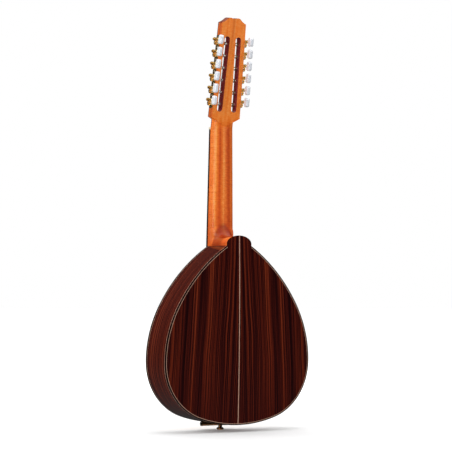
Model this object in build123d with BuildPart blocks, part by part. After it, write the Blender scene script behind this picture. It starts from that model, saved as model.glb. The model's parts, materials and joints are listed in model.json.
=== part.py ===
"""Twelve-string Spanish laud: teardrop body, Spanish heel, slotted head with worm tuners.

Millimetres. The origin is where the centre line crosses the lower edge of the soundboard.
+Z runs along the neck towards the head, -Y is the playing side, +X is the treble side.
"""

from build123d import *
from math import acos, atan2, cos, degrees, pi, radians, sin, tan
import os

os.makedirs("parts", exist_ok=True)

# Larger than the whole object, for solids that only cut
BEYOND = 1000.0
SIDES = {"treble": 1, "bass": -1}

# Body outline
BODY_LENGTH = 366.0
BODY_HALF_WIDTH = 170.5
WIDEST_Z = 128.0
HIP_RADIUS = 120.0
SHOULDER_RADIUS = 236.6
SHOULDER_TURN = 28.0
THROAT_HALF_WIDTH = 26.0

# Body section
BODY_DEPTH = 84.0
DOME_RADIUS = 6600.0
DOME_Z = 150.0
TOP_THICKNESS = 2.6
BACK_THICKNESS = 2.8
RIB_THICKNESS = 2.4
TOP_BINDING_DEPTH = 5.0
BACK_BINDING_DEPTH = 3.2
PURFLING_WIDTH = 0.9
LINING_WIDTH = 6.0
LINING_DEPTH = 14.0
STRIP_WIDTH = 1.8

# Sound hole and inside
HOLE_Z = 238.0
HOLE_RADIUS = 38.0
ROSETTE_INNER = 41.0
ROSETTE_OUTER = 50.0
ROSETTE_DEPTH = 1.2
FOOT_LENGTH = 44.0
TAIL_BLOCK_HALF_WIDTH = 35.0
TAIL_BLOCK_THICKNESS = 20.0
BRACE_WIDTH = 7.0
BACK_BRACE_DEPTH = 18.0
BACK_BRACE_HEIGHTS = (75.0, 170.0, 265.0)
TOP_BRACE_DEPTH = 15.0
TOP_BRACE_ABOVE_HOLE = 54.0
TOP_BRACE_BELOW_HOLE = 50.0
FAN_SIZE = 5.0
FAN_LENGTH = 140.0
FAN_Z = 100.0
FAN_SPACING = 25.0
FAN_TURN = 6.0

# Strings, from the bass side
STRING_RADII = [0.38, 0.38, 0.30, 0.30, 0.24, 0.24, 0.20, 0.20, 0.16, 0.16, 0.14, 0.14]
STRING_COUNT = len(STRING_RADII)
SCALE_LENGTH = 482.0
NUT_Z = 607.0
SADDLE_Z = NUT_Z - SCALE_LENGTH
COURSE_GAP = 2.2
SADDLE_SPREAD = 58.0
STRING_BEND = 3.0

# Neck and fingerboard
NUT_THICKNESS = 4.5
NUT_TOP_Y = -7.2
NUT_HALF_WIDTH = 24.7
NUT_SPREAD = 41.4
NUT_GROOVE_PLAY = 0.2
HEEL_HALF_WIDTH = 28.5
NECK_DEPTH_AT_NUT = 18.0
NECK_DEPTH_AT_HEEL = 20.0
NECK_SIDE = 2.5
FULLNESS = 0.6
BOARD_THICKNESS = 6.0
BOARD_END_Z = 291.0
FRET_COUNT = 18
FRET_WIDTH = 2.0
FRET_HEIGHT = 1.1
FRET_END = 0.4

# Heel: a quarter turn about a pivot behind the neck joins the shaft to the heel's cap
HEEL_PIVOT_Y = 47.0
HEEL_PIVOT_Z = 408.0
SHAFT_LOW_Z = 385.0
HEEL_BASE_Z = 358.0
HEEL_SIDE_Z = 368.0
HEEL_RIDGE_Z = 382.4
HEEL_CAP_Z = 385.4

# Head, measured from its own tilted plane: x across, s along, n from its front face backwards
HEAD_Z = 608.4
HEAD_TILT = 8.6
HEAD_THICKNESS = 17.0
VENEER = 2.0
HEAD_LOW_HALF = 33.5
HEAD_LOW_S = 24.2
HEAD_CHEVRON_S = 6.5
HEAD_TOP_S = 220.0
CREST_X = 10.5
CREST_S = 231.0
HEAD_DIP_S = 229.6
SIDE_LEAN = 1.5
SLOT_WIDTH = 12.6
SLOT_LOW_X = 17.2
SLOT_LOW_S = 36.7
SLOT_TOP_S = 192.4
RAMP_LENGTH = 12.0
RAMP_DEPTH = 4.0

# Tuning machines, six along each side of the head
TUNERS = 6
FIRST_POST_S = 52.7
POST_SPACING = 25.0
POST_N = 8.5
POST_RADIUS = 3.4
POST_PLAY = 0.2
POST_SOCKET = 5.0
POST_CAP_RADIUS = 2.6
POST_CAP_LENGTH = 1.2
DRIVER_SLOT_WIDTH = 0.7
DRIVER_SLOT_DEPTH = 0.6
STRING_HOLE_RADIUS = 0.8
PLATE_THICKNESS = 1.2
PLATE_WIDTH = 14.0
PLATE_CORNER = 4.0
PLATE_LOW_S = 42.8
PLATE_HIGH_S = 193.8
SCREW_OFFSET = 15.5
SCREW_RADIUS = 2.2
SCREW_HEAD = 1.0
GEAR_TEETH = 14
GEAR_MODULE = 0.675
GEAR_OUT = 6.5
GEAR_WIDTH = 3.2
GEAR_TIP_RADIUS = 5.2
GEAR_ROOT_RADIUS = 3.85
TOOTH_ROOT_HALF = 0.58
TOOTH_TIP_HALF = 0.2
TOOTH_SUNK = 0.5
WORM_DISTANCE = 7.0
WORM_TIP_RADIUS = 2.75
WORM_ROOT_RADIUS = 1.5
WORM_LENGTH = 7.4
WORM_CREST_TURN = 30.0
SHAFT_RADIUS = 1.6
SHAFT_PLAY = 0.05
COLLAR_RADIUS = 2.3
COLLAR_THICKNESS = 1.0
COLLAR_PLAY = 0.15
LUG_THICKNESS = 1.6
LUG_OFFSET = 5.6
LUG_HALF_WIDTH = 3.4
BUTTON_LENGTH = 19.0
BUTTON_HEIGHT = 12.0
BUTTON_THICKNESS = 8.0
BUTTON_N = 30.0
BUTTON_CORNER = 4.4
BUTTON_EDGE = 2.6
BUTTON_NECK_RADIUS = 2.9
BUTTON_NECK_LENGTH = 2.5
BUTTON_SOCKET = 4.5

# Bridge and tail
BRIDGE_HALF_LENGTH = 62.0
BRIDGE_WIDTH = 13.0
BRIDGE_WING_HEIGHT = 3.2
BRIDGE_HEIGHT = 7.6
BRIDGE_SHOULDER = 6.0
SADDLE_HALF_LENGTH = 37.0
SADDLE_THICKNESS = 2.6
SADDLE_BASE_Y = -4.0
SADDLE_TOP_Y = -10.6
TAIL_HALF_WIDTH = 34.0
TAIL_SHEET = 1.6
TAIL_END_Y = 24.0
ROLL_RADIUS = 4.5
ROLL_Y = -9.0
ROLL_Z = -3.2
ROLL_HOLE_Y = ROLL_Y + 1.5
PIN_Y = 11.5
PIN_NECK_RADIUS = 4.0
PIN_KNOB_RADIUS = 7.6
PIN_FLANGE_RADIUS = 8.0
PIN_INSIDE = 18.0

# Worked out from the sizes above
BOTTOM_RADIUS = (WIDEST_Z**2 + (BODY_HALF_WIDTH - HIP_RADIUS) ** 2 - HIP_RADIUS**2) / (
    2 * (WIDEST_Z - HIP_RADIUS)
)
PLATE_INSET = RIB_THICKNESS + PURFLING_WIDTH
TOP_LINE = TOP_BINDING_DEPTH + PURFLING_WIDTH
BACK_LINE = BACK_BINDING_DEPTH + PURFLING_WIDTH
DEEP = BODY_DEPTH + 10
MID_DEPTH = 60.0
GEAR_PITCH = pi * GEAR_MODULE
LEAD_SLOPE = GEAR_PITCH / (2 * pi * (WORM_DISTANCE - GEAR_MODULE * GEAR_TEETH / 2))
SOCKET_DEPTH = HEAD_LOW_HALF - SLOT_LOW_X + SLOT_WIDTH / 2 + POST_SOCKET
HEAD_UP = Vector(0, sin(radians(HEAD_TILT)), cos(radians(HEAD_TILT)))
HEAD_BACK = Vector(0, cos(radians(HEAD_TILT)), -sin(radians(HEAD_TILT)))
HEAD_PLANE = Plane(origin=(0, 0, HEAD_Z), x_dir=(1, 0, 0), z_dir=-HEAD_BACK)


def save(builder, name):
    """Labels one finished piece and writes its file."""
    builder.part.label = name
    export_step(builder.part, f"parts/{name}.step")


def outline(y, inset):
    """The body's outline in the plane at depth y, moved inwards by inset."""
    hip = (BODY_HALF_WIDTH - HIP_RADIUS, WIDEST_Z)
    turn = 90 + degrees(atan2(WIDEST_Z - BOTTOM_RADIUS, hip[0]))
    with BuildSketch(Plane.XZ.offset(-y)) as region:
        with BuildLine():
            CenterArc((0, BOTTOM_RADIUS), BOTTOM_RADIUS, -90, turn)
            CenterArc(hip, HIP_RADIUS, turn - 90, 90 - turn)
            shoulder = CenterArc(
                (BODY_HALF_WIDTH - SHOULDER_RADIUS, WIDEST_Z), SHOULDER_RADIUS, 0, SHOULDER_TURN
            )
            neckward = TangentArc(
                shoulder @ 1, (THROAT_HALF_WIDTH, BODY_LENGTH), tangent=shoulder % 1
            )
            Line(neckward @ 1, (0, BODY_LENGTH))
            mirror(about=Plane.YZ)
        make_face()
        if inset:
            offset(amount=-inset, kind=Kind.INTERSECTION, mode=Mode.REPLACE)
    return region.sketch


def heel_cap_plan(y):
    """The rounded top of the back over the heel, at depth y, with all of the back below it."""
    with BuildSketch(Plane.XZ.offset(-y)) as plan:
        with Locations((0, HEEL_SIDE_Z)):
            Ellipse(HEEL_HALF_WIDTH, HEEL_CAP_Z - HEEL_SIDE_Z)
            Rectangle(2 * HEEL_HALF_WIDTH, 2 * FOOT_LENGTH, align=(Align.CENTER, Align.MAX))
    return plan.sketch


def under_dome(cover, mode):
    """Cuts the current part with the back's dome, cover mm under its outer face."""
    with Locations((0, BODY_DEPTH - DOME_RADIUS, DOME_Z)):
        Sphere(DOME_RADIUS - cover, mode=mode)


def half_width(z):
    """Half the width of the neck and fingerboard at height z."""
    slope = (HEEL_HALF_WIDTH - NUT_HALF_WIDTH) / (NUT_Z - BODY_LENGTH)
    return NUT_HALF_WIDTH + slope * (NUT_Z - z)


def neck_section(plane, half, depth, side):
    """A D-shaped section: flat base along the plane's x axis, rounded towards its +y."""
    rise = depth - side
    with BuildSketch(plane) as section:
        with BuildLine():
            Line((0, 0), (half, 0))
            Line((half, 0), (half, side))
            Bezier(
                (half, side), (half, side + FULLNESS * rise), (FULLNESS * half, depth), (0, depth)
            )
            mirror(about=Plane.YZ)
        make_face()
    return section.sketch


# Soundboard and rosette
def rosette_ring():
    """The ring of inlay round the sound hole."""
    with BuildSketch(Plane.XZ) as ring:
        with Locations((0, HOLE_Z)):
            Circle(ROSETTE_OUTER)
            Circle(ROSETTE_INNER, mode=Mode.SUBTRACT)
    return ring.sketch


with BuildPart() as soundboard:
    extrude(outline(0, PLATE_INSET), amount=-TOP_THICKNESS)
    with BuildSketch(Plane.XZ):
        with Locations((0, HOLE_Z)):
            Circle(HOLE_RADIUS)
    extrude(amount=-TOP_THICKNESS, mode=Mode.SUBTRACT)
    extrude(rosette_ring(), amount=-ROSETTE_DEPTH, mode=Mode.SUBTRACT)
save(soundboard, "soundboard")

with BuildPart() as rosette:
    extrude(rosette_ring(), amount=-ROSETTE_DEPTH)
save(rosette, "rosette")


# Edges of the body
def edge_ring(y_low, y_high, outer, inner, cover_back=None, cover_front=None):
    """A strip round the body's edge, between two depths or two dome surfaces, open at the neck."""
    with BuildPart() as ring:
        extrude(outline(y_low, outer), amount=y_low - y_high)
        extrude(outline(y_low, inner), amount=y_low - y_high, mode=Mode.SUBTRACT)
        if cover_back is not None:
            under_dome(cover_back, Mode.INTERSECT)
        if cover_front is not None:
            under_dome(cover_front, Mode.SUBTRACT)
        with Locations((0, 0, BODY_LENGTH)):
            Box(2 * HEEL_HALF_WIDTH, BEYOND, FOOT_LENGTH, mode=Mode.SUBTRACT)
    return ring.part


with BuildPart() as bindings:
    add(edge_ring(0, TOP_BINDING_DEPTH, 0, RIB_THICKNESS))
    add(edge_ring(MID_DEPTH, DEEP, 0, RIB_THICKNESS, 0, BACK_BINDING_DEPTH))
save(bindings, "bindings")

with BuildPart() as purfling:
    add(edge_ring(0, TOP_THICKNESS, RIB_THICKNESS, PLATE_INSET))
    add(edge_ring(TOP_BINDING_DEPTH, TOP_LINE, 0, RIB_THICKNESS))
    add(edge_ring(MID_DEPTH, DEEP, 0, RIB_THICKNESS, BACK_BINDING_DEPTH, BACK_LINE))
    add(edge_ring(MID_DEPTH, DEEP, RIB_THICKNESS, PLATE_INSET, 0, BACK_THICKNESS))
save(purfling, "purfling")

for side_name, side in SIDES.items():
    with BuildPart() as rib:
        add(edge_ring(TOP_LINE, DEEP, 0, RIB_THICKNESS, BACK_LINE))
        split(bisect_by=Plane.YZ, keep=Keep.TOP if side > 0 else Keep.BOTTOM)
        with BuildSketch(Plane.XY):
            with Locations((0, PIN_Y)):
                Circle(PIN_NECK_RADIUS)
        extrude(amount=PIN_INSIDE, both=True, mode=Mode.SUBTRACT)
    save(rib, f"rib_{side_name}")

with BuildPart() as linings:
    lining_inset = RIB_THICKNESS + LINING_WIDTH
    add(edge_ring(TOP_THICKNESS, TOP_THICKNESS + LINING_DEPTH, RIB_THICKNESS, lining_inset))
    add(edge_ring(
        MID_DEPTH, DEEP, RIB_THICKNESS, lining_inset, BACK_THICKNESS, BACK_THICKNESS + LINING_DEPTH
    ))
    Box(2 * TAIL_BLOCK_HALF_WIDTH, BEYOND, BODY_DEPTH, mode=Mode.SUBTRACT)
save(linings, "linings")

# Inside of the body
with BuildPart() as tail_block:
    extrude(outline(TOP_THICKNESS, RIB_THICKNESS), amount=-DEEP)
    under_dome(BACK_THICKNESS, Mode.INTERSECT)
    with Locations((0, 0, RIB_THICKNESS)):
        Box(
            2 * TAIL_BLOCK_HALF_WIDTH,
            BEYOND,
            TAIL_BLOCK_THICKNESS,
            align=(Align.CENTER, Align.CENTER, Align.MIN),
            mode=Mode.INTERSECT,
        )
    with BuildSketch(Plane.XY):
        with Locations((0, PIN_Y)):
            Circle(PIN_NECK_RADIUS)
    extrude(amount=2 * PIN_INSIDE, mode=Mode.SUBTRACT)
save(tail_block, "tail_block")

with BuildPart() as braces:
    with Locations([(0, BODY_DEPTH, height) for height in BACK_BRACE_HEIGHTS]):
        Box(2 * BODY_HALF_WIDTH, 2 * BACK_BRACE_DEPTH, BRACE_WIDTH)
    under_dome(BACK_THICKNESS, Mode.INTERSECT)
    for height in (HOLE_Z + TOP_BRACE_ABOVE_HOLE, HOLE_Z - TOP_BRACE_BELOW_HOLE):
        with Locations((0, TOP_THICKNESS, height)):
            Box(
                2 * BODY_HALF_WIDTH,
                TOP_BRACE_DEPTH,
                BRACE_WIDTH,
                align=(Align.CENTER, Align.MIN, Align.CENTER),
            )
    for fan in range(-2, 3):
        with Locations(Location((FAN_SPACING * fan, TOP_THICKNESS, FAN_Z), (0, FAN_TURN * fan, 0))):
            Box(FAN_SIZE, FAN_SIZE, FAN_LENGTH, align=(Align.CENTER, Align.MIN, Align.CENTER))
    extrude(outline(0, RIB_THICKNESS + LINING_WIDTH), amount=-DEEP, mode=Mode.INTERSECT)
save(braces, "braces")

# Back, bookmatched on a pale strip
BACK_PIECES = {
    "back_treble": (STRIP_WIDTH / 2, BODY_HALF_WIDTH),
    "back_bass": (-BODY_HALF_WIDTH, -STRIP_WIDTH / 2),
    "back_strip": (-STRIP_WIDTH / 2, STRIP_WIDTH / 2),
}
for name, (low_x, high_x) in BACK_PIECES.items():
    with BuildPart() as back:
        extrude(outline(MID_DEPTH, PLATE_INSET), amount=MID_DEPTH - DEEP)
        extrude(heel_cap_plan(MID_DEPTH), amount=MID_DEPTH - DEEP)
        under_dome(0, Mode.INTERSECT)
        under_dome(BACK_THICKNESS, Mode.SUBTRACT)
        with Locations(((low_x + high_x) / 2, 0, 0)):
            Box(high_x - low_x, BEYOND, BEYOND, mode=Mode.INTERSECT)
    save(back, name)


# Neck, heel, foot and head in one piece
def heel_fan(turn):
    """One section of the heel's quarter turn, at turn degrees from the cap's direction."""
    down = Vector(0, -sin(radians(turn)), -cos(radians(turn)))
    share = turn / 90
    pivot = Vector(0, HEEL_PIVOT_Y, HEEL_PIVOT_Z)
    to_ridge = (HEEL_PIVOT_Z - HEEL_RIDGE_Z) * (1 - share)
    to_ridge += (HEEL_PIVOT_Y - NECK_DEPTH_AT_HEEL) * share
    to_floor = (HEEL_PIVOT_Z - HEEL_BASE_Z) / max(cos(radians(turn)), 0.01)
    to_front = HEEL_PIVOT_Y / max(sin(radians(turn)), 0.01)
    reach = min(to_floor, to_front)
    side = (HEEL_SIDE_Z - HEEL_BASE_Z) * (1 - share) + NECK_SIDE * share
    half = HEEL_HALF_WIDTH * (1 - share) + half_width(HEEL_PIVOT_Z) * share
    base = Plane(origin=pivot + down * reach, x_dir=(1, 0, 0), z_dir=Vector(1, 0, 0).cross(-down))
    return neck_section(base, half, reach - to_ridge, side)


def head_point(x, s, n):
    """A point of the head, from its tilted axes."""
    return Vector(x, 0, HEAD_Z) + HEAD_UP * s + HEAD_BACK * n


def head_outline():
    """The head above its chevron, in its own plane."""
    top_half = HEAD_LOW_HALF - (HEAD_TOP_S - HEAD_LOW_S) * tan(radians(SIDE_LEAN))
    with BuildSketch() as region:
        with BuildLine():
            chevron = Line((0, HEAD_CHEVRON_S), (HEAD_LOW_HALF, HEAD_LOW_S))
            flank = Line(chevron @ 1, (top_half, HEAD_TOP_S))
            shoulder = ThreePointArc(
                flank @ 1, (CREST_X + 10.5, HEAD_TOP_S + 3.9), (CREST_X + 4, CREST_S - 1.6)
            )
            crest = ThreePointArc(
                shoulder @ 1, (CREST_X, CREST_S), (CREST_X - 5.5, CREST_S - 0.8)
            )
            Line(crest @ 1, (0, HEAD_DIP_S))
            mirror(about=Plane.YZ)
        make_face()
    return region.sketch


def veneer_outline():
    """The face veneer: the head's outline down to the back of the nut."""
    nut_back_s = (NUT_Z + NUT_THICKNESS - HEAD_Z) / HEAD_UP.Z
    with BuildSketch(HEAD_PLANE) as region:
        add(head_outline())
        Rectangle(2 * NUT_HALF_WIDTH, HEAD_LOW_S, align=(Align.CENTER, Align.MIN))
        Rectangle(BEYOND, nut_back_s, align=(Align.CENTER, Align.MIN), mode=Mode.SUBTRACT)
    return region.sketch


def cut_slots_and_ramps():
    """Cuts both string slots and their ramps from the current part."""
    length = SLOT_TOP_S - SLOT_LOW_S
    middle_x = SLOT_LOW_X - length / 2 * tan(radians(SIDE_LEAN))
    with BuildSketch(HEAD_PLANE.offset(HEAD_THICKNESS)) as slots:
        for side in SIDES.values():
            place = Location((side * middle_x, SLOT_LOW_S + length / 2), 90 + side * SIDE_LEAN)
            with Locations(place):
                SlotOverall(length, SLOT_WIDTH)
    extrude(slots.sketch, amount=-3 * HEAD_THICKNESS, mode=Mode.SUBTRACT)
    for side in SIDES.values():
        corner = head_point(side * SLOT_LOW_X - SLOT_WIDTH / 2, SLOT_LOW_S, 0)
        with BuildSketch(Plane(origin=corner, x_dir=HEAD_UP, z_dir=(1, 0, 0))) as wedge:
            with BuildLine():
                Polyline(
                    (-RAMP_LENGTH, 1),
                    (-RAMP_LENGTH, 0),
                    (SLOT_WIDTH / 2, -RAMP_DEPTH),
                    (SLOT_WIDTH / 2, 1),
                    close=True,
                )
            make_face()
        extrude(wedge.sketch, amount=SLOT_WIDTH, mode=Mode.SUBTRACT)


def post_plane(side, row):
    """Plane on the head's side face at one post: x along the head, z outwards."""
    lean = radians(SIDE_LEAN)
    out = Vector(side * cos(lean), 0, 0) + HEAD_UP * sin(lean)
    along = Vector(-side * sin(lean), 0, 0) + HEAD_UP * cos(lean)
    s = FIRST_POST_S + row * POST_SPACING
    x = HEAD_LOW_HALF - (s - HEAD_LOW_S) * tan(lean)
    return Plane(origin=head_point(side * x, s, POST_N), x_dir=along, z_dir=out)


NECK_START = Plane(origin=(0, 0, HEAD_Z), x_dir=(1, 0, 0), z_dir=HEAD_UP)
HEEL_CAP = Plane(origin=(0, BODY_DEPTH, HEEL_BASE_Z), x_dir=(1, 0, 0), z_dir=(0, -1, 0))
with BuildPart() as neck:
    low_half = half_width(SHAFT_LOW_Z)
    loft([
        neck_section(Plane.XY.offset(SHAFT_LOW_Z), low_half, NECK_DEPTH_AT_HEEL, NECK_SIDE),
        neck_section(
            Plane.XY.offset(NUT_Z + NUT_THICKNESS), NUT_HALF_WIDTH, NECK_DEPTH_AT_NUT, NECK_SIDE
        ),
    ])
    loft([heel_fan(turn) for turn in (0, 15, 30, 45, 60, 75, 90)])
    cap_rise = HEEL_CAP_Z - HEEL_BASE_Z
    cap_side = HEEL_SIDE_Z - HEEL_BASE_Z
    loft([heel_fan(0), neck_section(HEEL_CAP, HEEL_HALF_WIDTH, cap_rise, cap_side)])
    with Locations((0, 0, BODY_LENGTH - FOOT_LENGTH)):
        Box(
            2 * HEEL_HALF_WIDTH,
            BODY_DEPTH,
            HEEL_SIDE_Z - BODY_LENGTH + FOOT_LENGTH,
            align=(Align.CENTER, Align.MIN, Align.MIN),
        )
    under_dome(BACK_THICKNESS, Mode.INTERSECT)
    extrude(outline(-TOP_THICKNESS, PLATE_INSET), amount=-2 * TOP_THICKNESS, mode=Mode.SUBTRACT)
    with Locations((0, 0, NUT_Z)):
        Box(
            BEYOND, BEYOND, BEYOND, align=(Align.CENTER, Align.MAX, Align.CENTER), mode=Mode.SUBTRACT
        )
    extrude(neck_section(NECK_START, NUT_HALF_WIDTH, HEAD_THICKNESS, NECK_SIDE), amount=HEAD_LOW_S)
    extrude(HEAD_PLANE * head_outline(), amount=-HEAD_THICKNESS)
    extrude(veneer_outline(), amount=-VENEER, mode=Mode.SUBTRACT)
    cut_slots_and_ramps()
    for side in SIDES.values():
        for row in range(TUNERS):
            with BuildSketch(post_plane(side, row).offset(1)):
                Circle(POST_RADIUS + POST_PLAY)
            extrude(amount=-1 - SOCKET_DEPTH, mode=Mode.SUBTRACT)
save(neck, "neck")

with BuildPart() as head_veneer:
    extrude(veneer_outline(), amount=-VENEER)
    cut_slots_and_ramps()
save(head_veneer, "head_veneer")

# Fingerboard, frets and nut
with BuildPart() as fingerboard:
    with BuildSketch(Plane.XZ):
        with BuildLine():
            Polyline(
                (-half_width(BOARD_END_Z), BOARD_END_Z),
                (half_width(BOARD_END_Z), BOARD_END_Z),
                (NUT_HALF_WIDTH, NUT_Z),
                (-NUT_HALF_WIDTH, NUT_Z),
                close=True,
            )
        make_face()
    extrude(amount=BOARD_THICKNESS)
save(fingerboard, "fingerboard")

with BuildPart() as frets:
    for number in range(1, FRET_COUNT + 1):
        fret_z = NUT_Z - SCALE_LENGTH * (1 - 2 ** (-number / 12))
        fret_half = half_width(fret_z) - FRET_END
        with BuildSketch(Plane.YZ.offset(-fret_half)):
            with Locations((-BOARD_THICKNESS, fret_z)):
                Ellipse(FRET_HEIGHT, FRET_WIDTH / 2)
                Rectangle(
                    FRET_WIDTH, FRET_WIDTH, align=(Align.MIN, Align.CENTER), mode=Mode.SUBTRACT
                )
        extrude(amount=2 * fret_half)
save(frets, "frets")


def string_x(number, spread):
    """Sideways place of one string where the outer strings are spread apart."""
    course, second = divmod(number, 2)
    step = (spread - COURSE_GAP) / (TUNERS - 1)
    middle = course * step - (spread - COURSE_GAP) / 2
    return middle + (COURSE_GAP / 2 if second else -COURSE_GAP / 2)


with BuildPart() as nut:
    with Locations((0, 0, NUT_Z)):
        Box(
            2 * NUT_HALF_WIDTH,
            -NUT_TOP_Y,
            NUT_THICKNESS,
            align=(Align.CENTER, Align.MAX, Align.MIN),
        )
    fillet(nut.edges().filter_by(Axis.X).group_by(Axis.Y)[0].sort_by(Axis.Z)[-1], 2)
    for number, radius in enumerate(STRING_RADII):
        with BuildSketch(Plane.XY.offset(NUT_Z)):
            with Locations((string_x(number, NUT_SPREAD), NUT_TOP_Y)):
                Circle(radius + NUT_GROOVE_PLAY)
        extrude(amount=NUT_THICKNESS, mode=Mode.SUBTRACT)
save(nut, "nut")

# Bridge and saddle
ON_THE_TOP = (Align.CENTER, Align.MAX, Align.CENTER)
with BuildPart() as bridge:
    with Locations((0, 0, SADDLE_Z)):
        Box(2 * BRIDGE_HALF_LENGTH, BRIDGE_WING_HEIGHT, BRIDGE_WIDTH, align=ON_THE_TOP)
        Box(
            2 * (SADDLE_HALF_LENGTH + BRIDGE_SHOULDER), BRIDGE_HEIGHT, BRIDGE_WIDTH, align=ON_THE_TOP
        )
    fillet(bridge.edges().filter_by(Axis.X).group_by(Axis.Y)[0], 3)
    with Locations((0, SADDLE_BASE_Y, SADDLE_Z)):
        Box(
            2 * SADDLE_HALF_LENGTH,
            BRIDGE_HEIGHT,
            SADDLE_THICKNESS,
            align=ON_THE_TOP,
            mode=Mode.SUBTRACT,
        )
save(bridge, "bridge")

with BuildPart() as saddle:
    with Locations((0, SADDLE_BASE_Y, SADDLE_Z)):
        Box(
            2 * SADDLE_HALF_LENGTH, SADDLE_BASE_Y - SADDLE_TOP_Y, SADDLE_THICKNESS, align=ON_THE_TOP
        )
    fillet(saddle.edges().filter_by(Axis.X).group_by(Axis.Y)[0], 1)
save(saddle, "saddle")

# Tailpiece: a bent sheet over the rib, rolled into a tube that holds the strings
with BuildPart() as tailpiece:
    extrude(outline(ROLL_Y, -TAIL_SHEET), amount=ROLL_Y - TAIL_END_Y)
    extrude(outline(ROLL_Y, 0), amount=ROLL_Y - TAIL_END_Y, mode=Mode.SUBTRACT)
    Box(2 * TAIL_HALF_WIDTH, BEYOND, 40, mode=Mode.INTERSECT)
    for radius, mode in ((ROLL_RADIUS, Mode.ADD), (ROLL_RADIUS - TAIL_SHEET, Mode.SUBTRACT)):
        with BuildSketch(Plane.YZ.offset(-TAIL_HALF_WIDTH)):
            with Locations((ROLL_Y, ROLL_Z)):
                Circle(radius)
        extrude(amount=2 * TAIL_HALF_WIDTH, mode=mode)
    with BuildSketch(Plane.XY):
        with Locations((0, PIN_Y)):
            Circle(PIN_NECK_RADIUS)
        with Locations([(string_x(n, SADDLE_SPREAD), ROLL_HOLE_Y) for n in range(STRING_COUNT)]):
            Circle(STRING_HOLE_RADIUS)
    extrude(amount=5, both=True, mode=Mode.SUBTRACT)
save(tailpiece, "tailpiece")

with BuildPart() as end_pin:
    flange_z = -TAIL_SHEET - 0.1
    with BuildSketch(Plane.XZ.offset(-PIN_Y)):
        with BuildLine():
            Polyline(
                (4, -14.8),
                (0, -14.8),
                (0, PIN_INSIDE),
                (PIN_NECK_RADIUS, PIN_INSIDE - 2),
                (PIN_NECK_RADIUS, flange_z),
                (PIN_FLANGE_RADIUS, flange_z),
                (PIN_FLANGE_RADIUS, -3.2),
                (PIN_NECK_RADIUS, -5.2),
                (PIN_NECK_RADIUS, -9.6),
            )
            ThreePointArc(
                (PIN_NECK_RADIUS, -9.6), (PIN_KNOB_RADIUS - 0.4, -11), (PIN_KNOB_RADIUS, -12.6)
            )
            ThreePointArc((PIN_KNOB_RADIUS, -12.6), (PIN_KNOB_RADIUS - 1.2, -14.1), (4, -14.8))
        make_face()
    revolve(axis=Axis((0, PIN_Y, 0), (0, 0, 1)))
save(end_pin, "end_pin")

# Side plates with two lugs for each worm's shaft
with BuildPart() as tuner_plates:
    for side in SIDES.values():
        with BuildSketch(post_plane(side, 0)):
            with Locations(((PLATE_LOW_S + PLATE_HIGH_S) / 2 - FIRST_POST_S, 0)):
                RectangleRounded(PLATE_HIGH_S - PLATE_LOW_S, PLATE_WIDTH, PLATE_CORNER)
        extrude(amount=PLATE_THICKNESS)
        for row in range(TUNERS):
            post = post_plane(side, row)
            beside_worm = post.from_local_coords(Vector(WORM_DISTANCE, 0, 0))
            for lug in (-LUG_OFFSET, LUG_OFFSET + LUG_THICKNESS):
                ear = Plane(
                    origin=beside_worm + HEAD_BACK * lug, x_dir=post.z_dir, z_dir=-HEAD_BACK
                )
                with BuildSketch(ear):
                    Rectangle(GEAR_OUT, 2 * LUG_HALF_WIDTH, align=(Align.MIN, Align.CENTER))
                    with Locations((GEAR_OUT, 0)):
                        Circle(LUG_HALF_WIDTH)
                        Circle(SHAFT_RADIUS + SHAFT_PLAY, mode=Mode.SUBTRACT)
                extrude(amount=LUG_THICKNESS)
            with BuildSketch(post):
                Circle(POST_RADIUS + POST_PLAY)
            extrude(amount=PLATE_THICKNESS, mode=Mode.SUBTRACT)
save(tuner_plates, "tuner_plates")

with BuildPart() as plate_screws:
    for side in SIDES.values():
        for row in range(TUNERS - 1):
            with BuildSketch(post_plane(side, row).offset(PLATE_THICKNESS)):
                with Locations((SCREW_OFFSET, 0)):
                    Circle(SCREW_RADIUS)
            extrude(amount=SCREW_HEAD)
save(plate_screws, "plate_screws")

# One gear tooth along +X, skewed to the worm's lead
with BuildPart() as tooth:
    with BuildSketch(Plane.XY.offset(GEAR_OUT - GEAR_WIDTH / 2)):
        with Locations((0, -GEAR_WIDTH / 2 * LEAD_SLOPE)):
            with BuildLine():
                Polyline(
                    (GEAR_ROOT_RADIUS - TOOTH_SUNK, -TOOTH_ROOT_HALF),
                    (GEAR_ROOT_RADIUS, -TOOTH_ROOT_HALF),
                    (GEAR_TIP_RADIUS, -TOOTH_TIP_HALF),
                    (GEAR_TIP_RADIUS, TOOTH_TIP_HALF),
                    (GEAR_ROOT_RADIUS, TOOTH_ROOT_HALF),
                    (GEAR_ROOT_RADIUS - TOOTH_SUNK, TOOTH_ROOT_HALF),
                    close=True,
                )
            make_face()
    extrude(amount=GEAR_WIDTH, dir=(0, LEAD_SLOPE, 1))

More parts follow.
